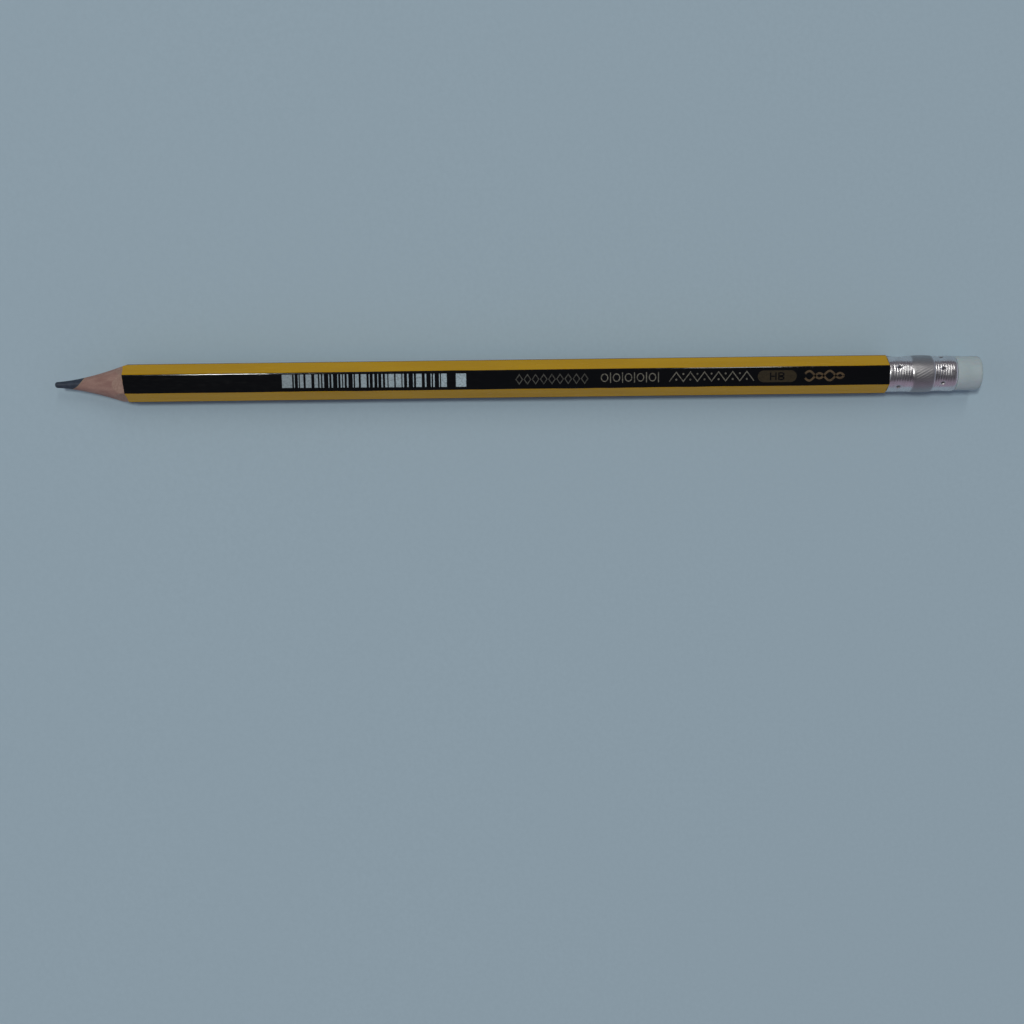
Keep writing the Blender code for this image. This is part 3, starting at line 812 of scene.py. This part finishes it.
def drawn(path, bottom, top, closed=False, width=STROKE):
    """A line of (x, y) points as a thin plate, which is a ring where the line is closed."""
    left, right = line_sides(path, closed, width)
    if not closed:
        return plate(np.concatenate((left, right[::-1])), bottom, top)
    return lofted([raised(left, bottom), raised(left, top), raised(right, top), raised(right, bottom)])


def ring(x, y, half_length, half_width, count=28):
    """A closed ellipse of (x, y) points."""
    turn = np.arange(count) * math.tau / count
    return np.column_stack((x + half_length * np.cos(turn), y + half_width * np.sin(turn)))


def make_lozenges(finish):
    """A row of hollow lozenges in foil."""
    first, last, half, bottom, top = print_area("foil_lozenges")
    count = 9
    pitch = (last - first) / count
    reach = half - STROKE
    lozenges = []
    for number in range(count):
        x = first + (number + 0.5) * pitch
        corners = [(x - 0.40 * pitch, 0.0), (x, reach), (x + 0.40 * pitch, 0.0), (x, -reach)]
        lozenges.append(drawn(corners, bottom, top, closed=True))
    make_piece("foil_lozenge_row", together(lozenges), [finish], ["foil_lozenges"])


def make_frieze(finish):
    """Two runs of foil ornament: rings between upright lines, then a zigzag with dots in its bends."""
    first, last, half, bottom, top = print_area("foil_frieze")
    reach = half - STROKE
    shapes = []
    gap_start = first + 12.2 * MM
    gap_end = first + 14.1 * MM
    rings = 5
    pitch = (gap_start - first) / rings
    for number in range(rings):
        x = first + (number + 0.5) * pitch
        outline = ring(x - 0.12 * pitch, LEAN, 0.27 * pitch, 0.72 * reach)
        shapes.append(drawn(outline, bottom, top, closed=True))
        upright = x + 0.38 * pitch
        shapes.append(drawn([(upright, LEAN - reach), (upright, LEAN + reach)], bottom, top))
    zigzags = 12
    pitch = (last - gap_end) / zigzags
    path = [
        (gap_end + number * pitch, LEAN + (reach if number % 2 else -reach) * 0.9)
        for number in range(zigzags + 1)
    ]
    shapes.append(drawn(path, bottom, top))
    for number in range(1, zigzags):
        y = LEAN + (-0.55 if number % 2 else 0.55) * reach
        shapes.append(plate(ring(gap_end + number * pitch, y, 0.20 * MM, 0.20 * MM, 14), bottom, top))
    make_piece("foil_frieze_band", together(shapes), [finish], ["foil_frieze"])


def letter_paths(x, half_length, half_width):
    """The lines of the two letters of the grade, HB, centred on x."""
    gap = 0.16 * MM
    inset = 0.10 * MM
    bow_radius = 0.45 * MM
    bow_steps = 6
    left = x - half_length
    paths = [
        [(left, -half_width), (left, half_width)],
        [(left + gap, 0.0), (left + 0.66 * half_length, 0.0)],
        [(left + 0.80 * half_length, -half_width), (left + 0.80 * half_length, half_width)],
    ]
    left = x + 0.25 * half_length
    right = x + half_length
    paths.append([(left, -half_width), (left, half_width)])
    for low, high in ((-half_width, 0.0), (0.0, half_width)):
        bow = [(left + gap, high - inset)]
        for step in range(bow_steps + 1):
            turn = math.pi * (0.5 - step / bow_steps)
            bow.append((
                right - bow_radius * (1 - math.cos(turn)),
                (low + high) / 2 + (half_width / 2 - inset) * math.sin(turn),
            ))
        bow.append((left + gap, low + inset))
        paths.append(bow)
    return paths


def make_badge(foil, black):
    """A foil lozenge with rounded ends and the grade HB left dark in it."""
    first, last, half, bottom, top = print_area("foil_grade_badge")
    reach = half - 0.05 * MM
    end_steps = 16
    ends = []
    for centre, start in ((last - reach, -90), (first + reach, 90)):
        for step in range(end_steps + 1):
            turn = math.radians(start + 180 * step / end_steps)
            ends.append((centre + reach * math.cos(turn), reach * math.sin(turn)))
    middle = bottom + (top - bottom) * 0.7
    pill = plate(ends, bottom, middle)
    letters = [
        drawn(path, middle, top, width=LETTER_STROKE)
        for path in letter_paths((first + last) / 2, 1.35 * MM, 0.62 * half)
    ]
    shape = together([pill, *letters])
    pill_faces = len(pill[1])
    finish_of = [0] * pill_faces + [1] * (len(shape[1]) - pill_faces)
    make_piece("foil_badge", shape, [foil, black], ["foil_grade_badge"], finish_of=finish_of)


def make_wave(finish):
    """A foil ornament near the ferrule: two waves that cross."""
    first, last, half, bottom, top = print_area("foil_wave")
    x = np.linspace(first + STROKE, last - STROKE, 60)
    share = (x - first) / (last - first)
    waves = []
    for sign in (1, -1):
        y = sign * half * (0.62 * np.sin(2 * math.tau * share) + 0.18)
        waves.append(drawn(np.column_stack((x, y)), bottom, top, width=WAVE_STROKE))
    make_piece("foil_wave_band", together(waves), [finish], ["foil_wave"])


# ---------------------------------------------------------------- ferrule and eraser


def crimp_depth(place, angle):
    """How deep the punched crimps and the dips around them are, at a place along and around the ferrule."""
    depth = np.zeros(np.broadcast(place, angle).shape)
    for ring_place, count, start in CRIMP_RINGS:
        for number in range(count):
            turn = (angle - start - 360.0 * number / count + 180.0) % 360.0 - 180.0
            along = place - ring_place
            round_it = np.radians(turn) * RIDGE_RADIUS
            long_way = along * math.cos(CRIMP_TILT) + round_it * math.sin(CRIMP_TILT)
            short_way = round_it * math.cos(CRIMP_TILT) - along * math.sin(CRIMP_TILT)
            reach = np.sqrt((long_way / CRIMP_HALF_LENGTH) ** 2 + (short_way / CRIMP_HALF_WIDTH) ** 2)
            pit = np.clip(1.15 - reach, 0.0, 1.0)
            depth = depth + CRIMP_DEPTH * pit * pit * (3 - 2 * pit)
            depth = depth + DIP_DEPTH * np.exp(-(along**2 + round_it**2) / (2 * DIP_REACH**2))
    return depth


def bore_radius(place, angle):
    """The ferrule's inside radius, which the tenon and the eraser follow."""
    return BORE_RADIUS - crimp_depth(place, angle)


def rolled_radius(place):
    """The ferrule's outside radius at a place along it, before crimps and hatching."""
    radius = RIM_RADIUS
    for first, last in (FRONT_RIDGES, REAR_RIDGES):
        inside = (place >= first) & (place <= last)
        phase = np.abs(np.sin(math.pi * RIDGE_COUNT * (place - first) / (last - first))) ** 0.75
        ridge = GROOVE_DEPTH_RADIUS + (RIDGE_RADIUS - GROOVE_DEPTH_RADIUS) * phase
        radius = np.where(inside, ridge, radius)
    share = np.clip((place - BAND[0]) / (BAND[1] - BAND[0]), 0.0, 1.0)
    crown = BAND_EDGE_RADIUS + (BAND_RADIUS - BAND_EDGE_RADIUS) * np.sin(math.pi * share) ** 0.6
    radius = np.where((place >= BAND[0]) & (place <= BAND[1]), crown, radius)
    curl = np.clip((place - CURL_START) / (FERRULE_LENGTH - CURL_START), 0.0, 1.0)
    return radius - CURL * (1 - np.sqrt(np.maximum(1 - curl**2, 0.0)))


def outside_radius(place, angle):
    """The ferrule's finished outside radius at a place along it and angles around it."""
    radius = rolled_radius(place)
    phase = HATCH_LINES * angle / 360.0
    pitch = math.tau * BAND_RADIUS * math.cos(HATCH_SLOPE) / HATCH_LINES
    phase = phase - place * math.sin(HATCH_SLOPE) / pitch
    hatched = np.clip(np.minimum(place - HATCH[0], HATCH[1] - place) / HATCH_FADE, 0.0, 1.0)
    groove = np.clip(np.cos(math.tau * phase) - 0.1, 0.0, 1.0)
    handling = HANDLING_DEPTH * (1 - wobble(angle + place / MM * 9, 12, 120.0))
    return radius - HATCH_DEPTH * hatched * groove - crimp_depth(place, angle) - handling


def ferrule_loop(place, angle, radius):
    """A loop at a place along the ferrule, from angles and one or more radii."""
    return loop_at(FERRULE_X + place, around(angle, radius))


def make_ferrule(finish):
    """The crimped ferrule, as a thin tube with a curled rear rim."""
    ridge_steps = RIDGE_COUNT * 8
    stretches = (
        (0.07 * MM, FRONT_RIDGES[0], 5),
        (*FRONT_RIDGES, ridge_steps),
        (*BAND, 48),
        (*REAR_RIDGES, ridge_steps),
        (CURL_START, FERRULE_LENGTH - 0.02 * MM, 12),
    )
    angle = evenly_around(FERRULE_COLUMNS)
    loops = [ferrule_loop(0.0, angle, RIM_RADIUS - 0.09 * MM)]
    for first, last, steps in stretches:
        for place in np.linspace(first, last, steps + 1):
            loops.append(ferrule_loop(place, angle, outside_radius(place, angle)))
    mouth = BORE_RADIUS - CURL
    edge = (RIM_RADIUS - CURL + mouth) / 2
    for radius in (edge + 0.08 * MM, edge - 0.08 * MM):
        loops.append(ferrule_loop(FERRULE_LENGTH, angle, radius))
    loops.append(ferrule_loop(FERRULE_LENGTH - 0.12 * MM, angle, mouth))
    for place in np.linspace(CURL_START, 0.0, 27):
        loops.append(ferrule_loop(place, angle, bore_radius(place, angle)))
    make_piece("ferrule_shell", lofted(loops), [finish], ["ferrule"], sharp_angle=60)


def make_eraser(finish):
    """The rubber plug: gripped by the crimps, necked under the rim, soft and slightly uneven outside."""
    angle = evenly_around(ERASER_COLUMNS)
    start = ERASER_START_X - FERRULE_X
    end = ERASER_END_X - FERRULE_X
    neck_end = FERRULE_LENGTH + 0.05 * MM
    gripped = BORE_RADIUS - ERASER_CLEARANCE
    loops = [ferrule_loop(start, angle, share * gripped) for share in (0.02, 0.9)]
    for place in np.linspace(start + 0.15 * MM, REAR_RIDGES[1], 34):
        reach = np.minimum(gripped, bore_radius(place, angle) - ERASER_CLEARANCE)
        loops.append(ferrule_loop(place, angle, reach))
    for place in (FERRULE_LENGTH - 0.25 * MM, neck_end):
        loops.append(ferrule_loop(place, angle, gripped - CURL))
    for turn in np.linspace(0.0, math.pi / 2, 7):
        place = neck_end + ERASER_SHOULDER * (1 - math.cos(turn))
        radius = ERASER_RADIUS - ERASER_SHOULDER * (1 - math.sin(turn))
        loops.append(ferrule_loop(place, angle, radius))
    side_end = end - ERASER_EDGE_ROUNDING
    for place in np.linspace(FERRULE_LENGTH + 0.4 * MM, side_end, 20):
        loops.append(ferrule_loop(place, angle, ERASER_RADIUS))
    for turn in np.linspace(0.0, math.pi / 2, 13)[1:]:
        place = side_end + (ERASER_EDGE_ROUNDING - ERASER_END_CROWN) * math.sin(turn)
        radius = ERASER_RADIUS - ERASER_EDGE_ROUNDING * (1 - math.cos(turn))
        loops.append(ferrule_loop(place, angle, radius))
    face_radius = ERASER_RADIUS - ERASER_EDGE_ROUNDING
    for share in np.linspace(0.93, 0.02, 16):
        loops.append(ferrule_loop(end - ERASER_END_CROWN * share**2, angle, face_radius * share))
    points, faces = lofted(loops, joined=False)
    soften_outside(points)
    make_piece("eraser_plug", (points, faces), [finish], ["eraser"], sharp_angle=60)


def soften_outside(points):
    """Small uneven dents in the part of the eraser that shows."""
    shown = points[:, 0] > FERRULE_X + FERRULE_LENGTH + 0.3 * MM
    across = points[:, 1:] - np.array((0.0, AXIS_Z))
    angle = np.degrees(np.arctan2(across[:, 0], across[:, 1]))
    place = points[:, 0] / MM
    uneven = np.sin(np.radians(angle * 2) + place * 0.9) + 0.6 * np.sin(np.radians(angle * 5) - place * 1.7)
    across *= (1 - 0.004 * (1 + 0.5 * uneven) * shown)[:, None]
    points[:, 1:] = across + np.array((0.0, AXIS_Z))


# ---------------------------------------------------------------- floor, light and camera


def make_floor():
    """A large sheet of pale paper that touches the ferrule's band and the barrel's front end."""
    band_x = FERRULE_X + (BAND[0] + BAND[1]) / 2
    barrel_lift = AXIS_Z - LACQUER_HALF_FLAT
    slope = barrel_lift / (band_x - BARREL_FRONT_X)
    side = np.linspace(-FLOOR_HALF_SIDE, FLOOR_HALF_SIDE, FLOOR_STEPS + 1)
    grid_x, grid_y = np.meshgrid(side, side)
    height = slope * (band_x - grid_x) - FLOOR_CLEARANCE
    points = np.column_stack((grid_x.ravel(), grid_y.ravel(), height.ravel()))
    index = np.arange(len(points)).reshape(FLOOR_STEPS + 1, FLOOR_STEPS + 1)
    corners = (index[:-1, :-1], index[:-1, 1:], index[1:, 1:], index[1:, :-1])
    faces = np.stack(corners, axis=-1).reshape(-1, 4).tolist()
    mesh = bpy.data.meshes.new("floor")
    mesh.from_pydata(points.tolist(), [], faces)
    mesh.materials.append(paper())
    floor = bpy.data.objects.new("floor", mesh)
    bpy.context.scene.collection.objects.link(floor)


def make_lamp(name, towards, width, depth, energy):
    """A softbox in a direction, of a width along the pencil and a depth across it."""
    lamp = bpy.data.lights.new(name, "AREA")
    lamp.shape = "RECTANGLE"
    lamp.size = width
    lamp.size_y = depth
    lamp.energy = energy
    lamp.color = LAMP_COLOUR
    box = bpy.data.objects.new(name, lamp)
    bpy.context.scene.collection.objects.link(box)
    back = Vector(towards).normalized()
    box.location = back * LAMP_DISTANCE
    along = (Vector((1.0, 0.0, 0.0)) - back * back.x).normalized()
    box.rotation_euler = Matrix((along, back.cross(along), back)).transposed().to_euler()


def make_lights():
    """A high key to the rear left, and a slim card to the rear right for the ferrule's highlights."""
    make_lamp("key", (-0.262, 0.24, 1.0), width=0.19, depth=0.48, energy=26.7)
    make_lamp("card", (0.235, 0.86, 1.0), width=0.21, depth=1.5, energy=9.0)


def make_surroundings():
    """A dim, soft room: darkest overhead, lighter low at the front, and pale and cool at the two ends."""
    world = bpy.data.worlds.new("room")
    world.use_nodes = True
    tree = world.node_tree
    direction = node(tree, "ShaderNodeTexCoord").outputs["Generated"]
    along = node(tree, "ShaderNodeSeparateXYZ", {0: direction})
    sideways = maths(tree, "ABSOLUTE", along.outputs[0])
    ends = between(tree, sideways, 0.55, 0.90)
    front = between(tree, along.outputs[1], -0.35, -0.90)
    overhead = vector_maths(tree, "DOT_PRODUCT", direction, (0.0, -0.20, 0.980)).outputs["Value"]
    dark = between(tree, overhead, math.cos(math.radians(44)), math.cos(math.radians(27)))
    tone = mixed(tree, front, rgb(0.102, 0.093, 0.108), rgb(0.262, 0.218, 0.28))
    tone = mixed(tree, ends, tone, rgb(0.50, 0.57, 0.66))
    tone = mixed(tree, dark, tone, rgb(0.042, 0.041, 0.046))
    tree.links.new(tone, tree.nodes["Background"].inputs["Color"])
    bpy.context.scene.world = world


def make_camera():
    """The view from above, nearly upright, over the middle of the pencil."""
    lens = bpy.data.cameras.new("camera")
    lens.lens = LENS
    lens.clip_start = 0.01
    lens.clip_end = 20.0
    camera = bpy.data.objects.new("camera", lens)
    bpy.context.scene.collection.objects.link(camera)
    camera.location = CAMERA_PLACE
    camera.rotation_euler = [math.radians(angle) for angle in CAMERA_ANGLES]
    bpy.context.scene.camera = camera


# ---------------------------------------------------------------- everything together


def make_pencil():
    """Every piece of the pencil, from the inside out."""
    dried_glue = glue()
    make_core()
    make_core_glue(dried_glue)
    upper_wood = wood("wood_upper", (0.44, 0.265, 0.215), (0.33, 0.18, 0.148), 3.0)
    lower_wood = wood("wood_lower", (0.41, 0.27, 0.225), (0.31, 0.19, 0.158), 8.0)
    primed = primed_wood()
    make_slat("slat_upper", 1, "wood_slat_upper", upper_wood, primed)
    make_slat("slat_lower", -1, "wood_slat_lower", lower_wood, primed)
    make_seam_glue("glue_rear", 1, "glue_line_rear", dried_glue)
    make_seam_glue("glue_front", -1, "glue_line_front", dried_glue)
    yellow = lacquer(
        "yellow_lacquer", colour=(0.67, 0.370, 0.003), deep=(0.59, 0.315, 0.002),
        dust=(0.72, 0.48, 0.08), roughness=0.20, sheen=0.20,
    )
    black = lacquer(
        "black_lacquer", colour=(0.0045, 0.005, 0.0065), deep=(0.0035, 0.004, 0.005),
        dust=(0.03, 0.03, 0.033), roughness=0.075, sheen=0.5,
    )
    make_coat(yellow, cut_lacquer())
    make_stripe("stripe_top", 0, "black_stripe_top", black, 70)
    make_stripe("stripe_rear", 120, "black_stripe_rear", black, 80)
    make_stripe("stripe_front", 240, "black_stripe_front", black, 90)
    make_bar_code(white_ink())
    foil = gold_foil("gold_foil", (0.215, 0.200, 0.165), (0.04, 0.037, 0.032))
    dim_foil = gold_foil("dim_gold_foil", (0.075, 0.072, 0.064), (0.02, 0.019, 0.017))
    rubbed_foil = gold_foil("rubbed_gold_foil", (0.050, 0.036, 0.018), (0.020, 0.014, 0.007))
    wave_foil = gold_foil("wave_gold_foil", (0.16, 0.105, 0.058), (0.045, 0.030, 0.017))
    make_lozenges(dim_foil)
    make_frieze(foil)
    make_badge(rubbed_foil, black)
    make_wave(wave_foil)
    make_ferrule(aluminium())
    make_eraser(rubber())


bpy.context.scene.view_settings.view_transform = "Standard"
make_camera()
make_floor()
make_lights()
make_surroundings()
make_pencil()
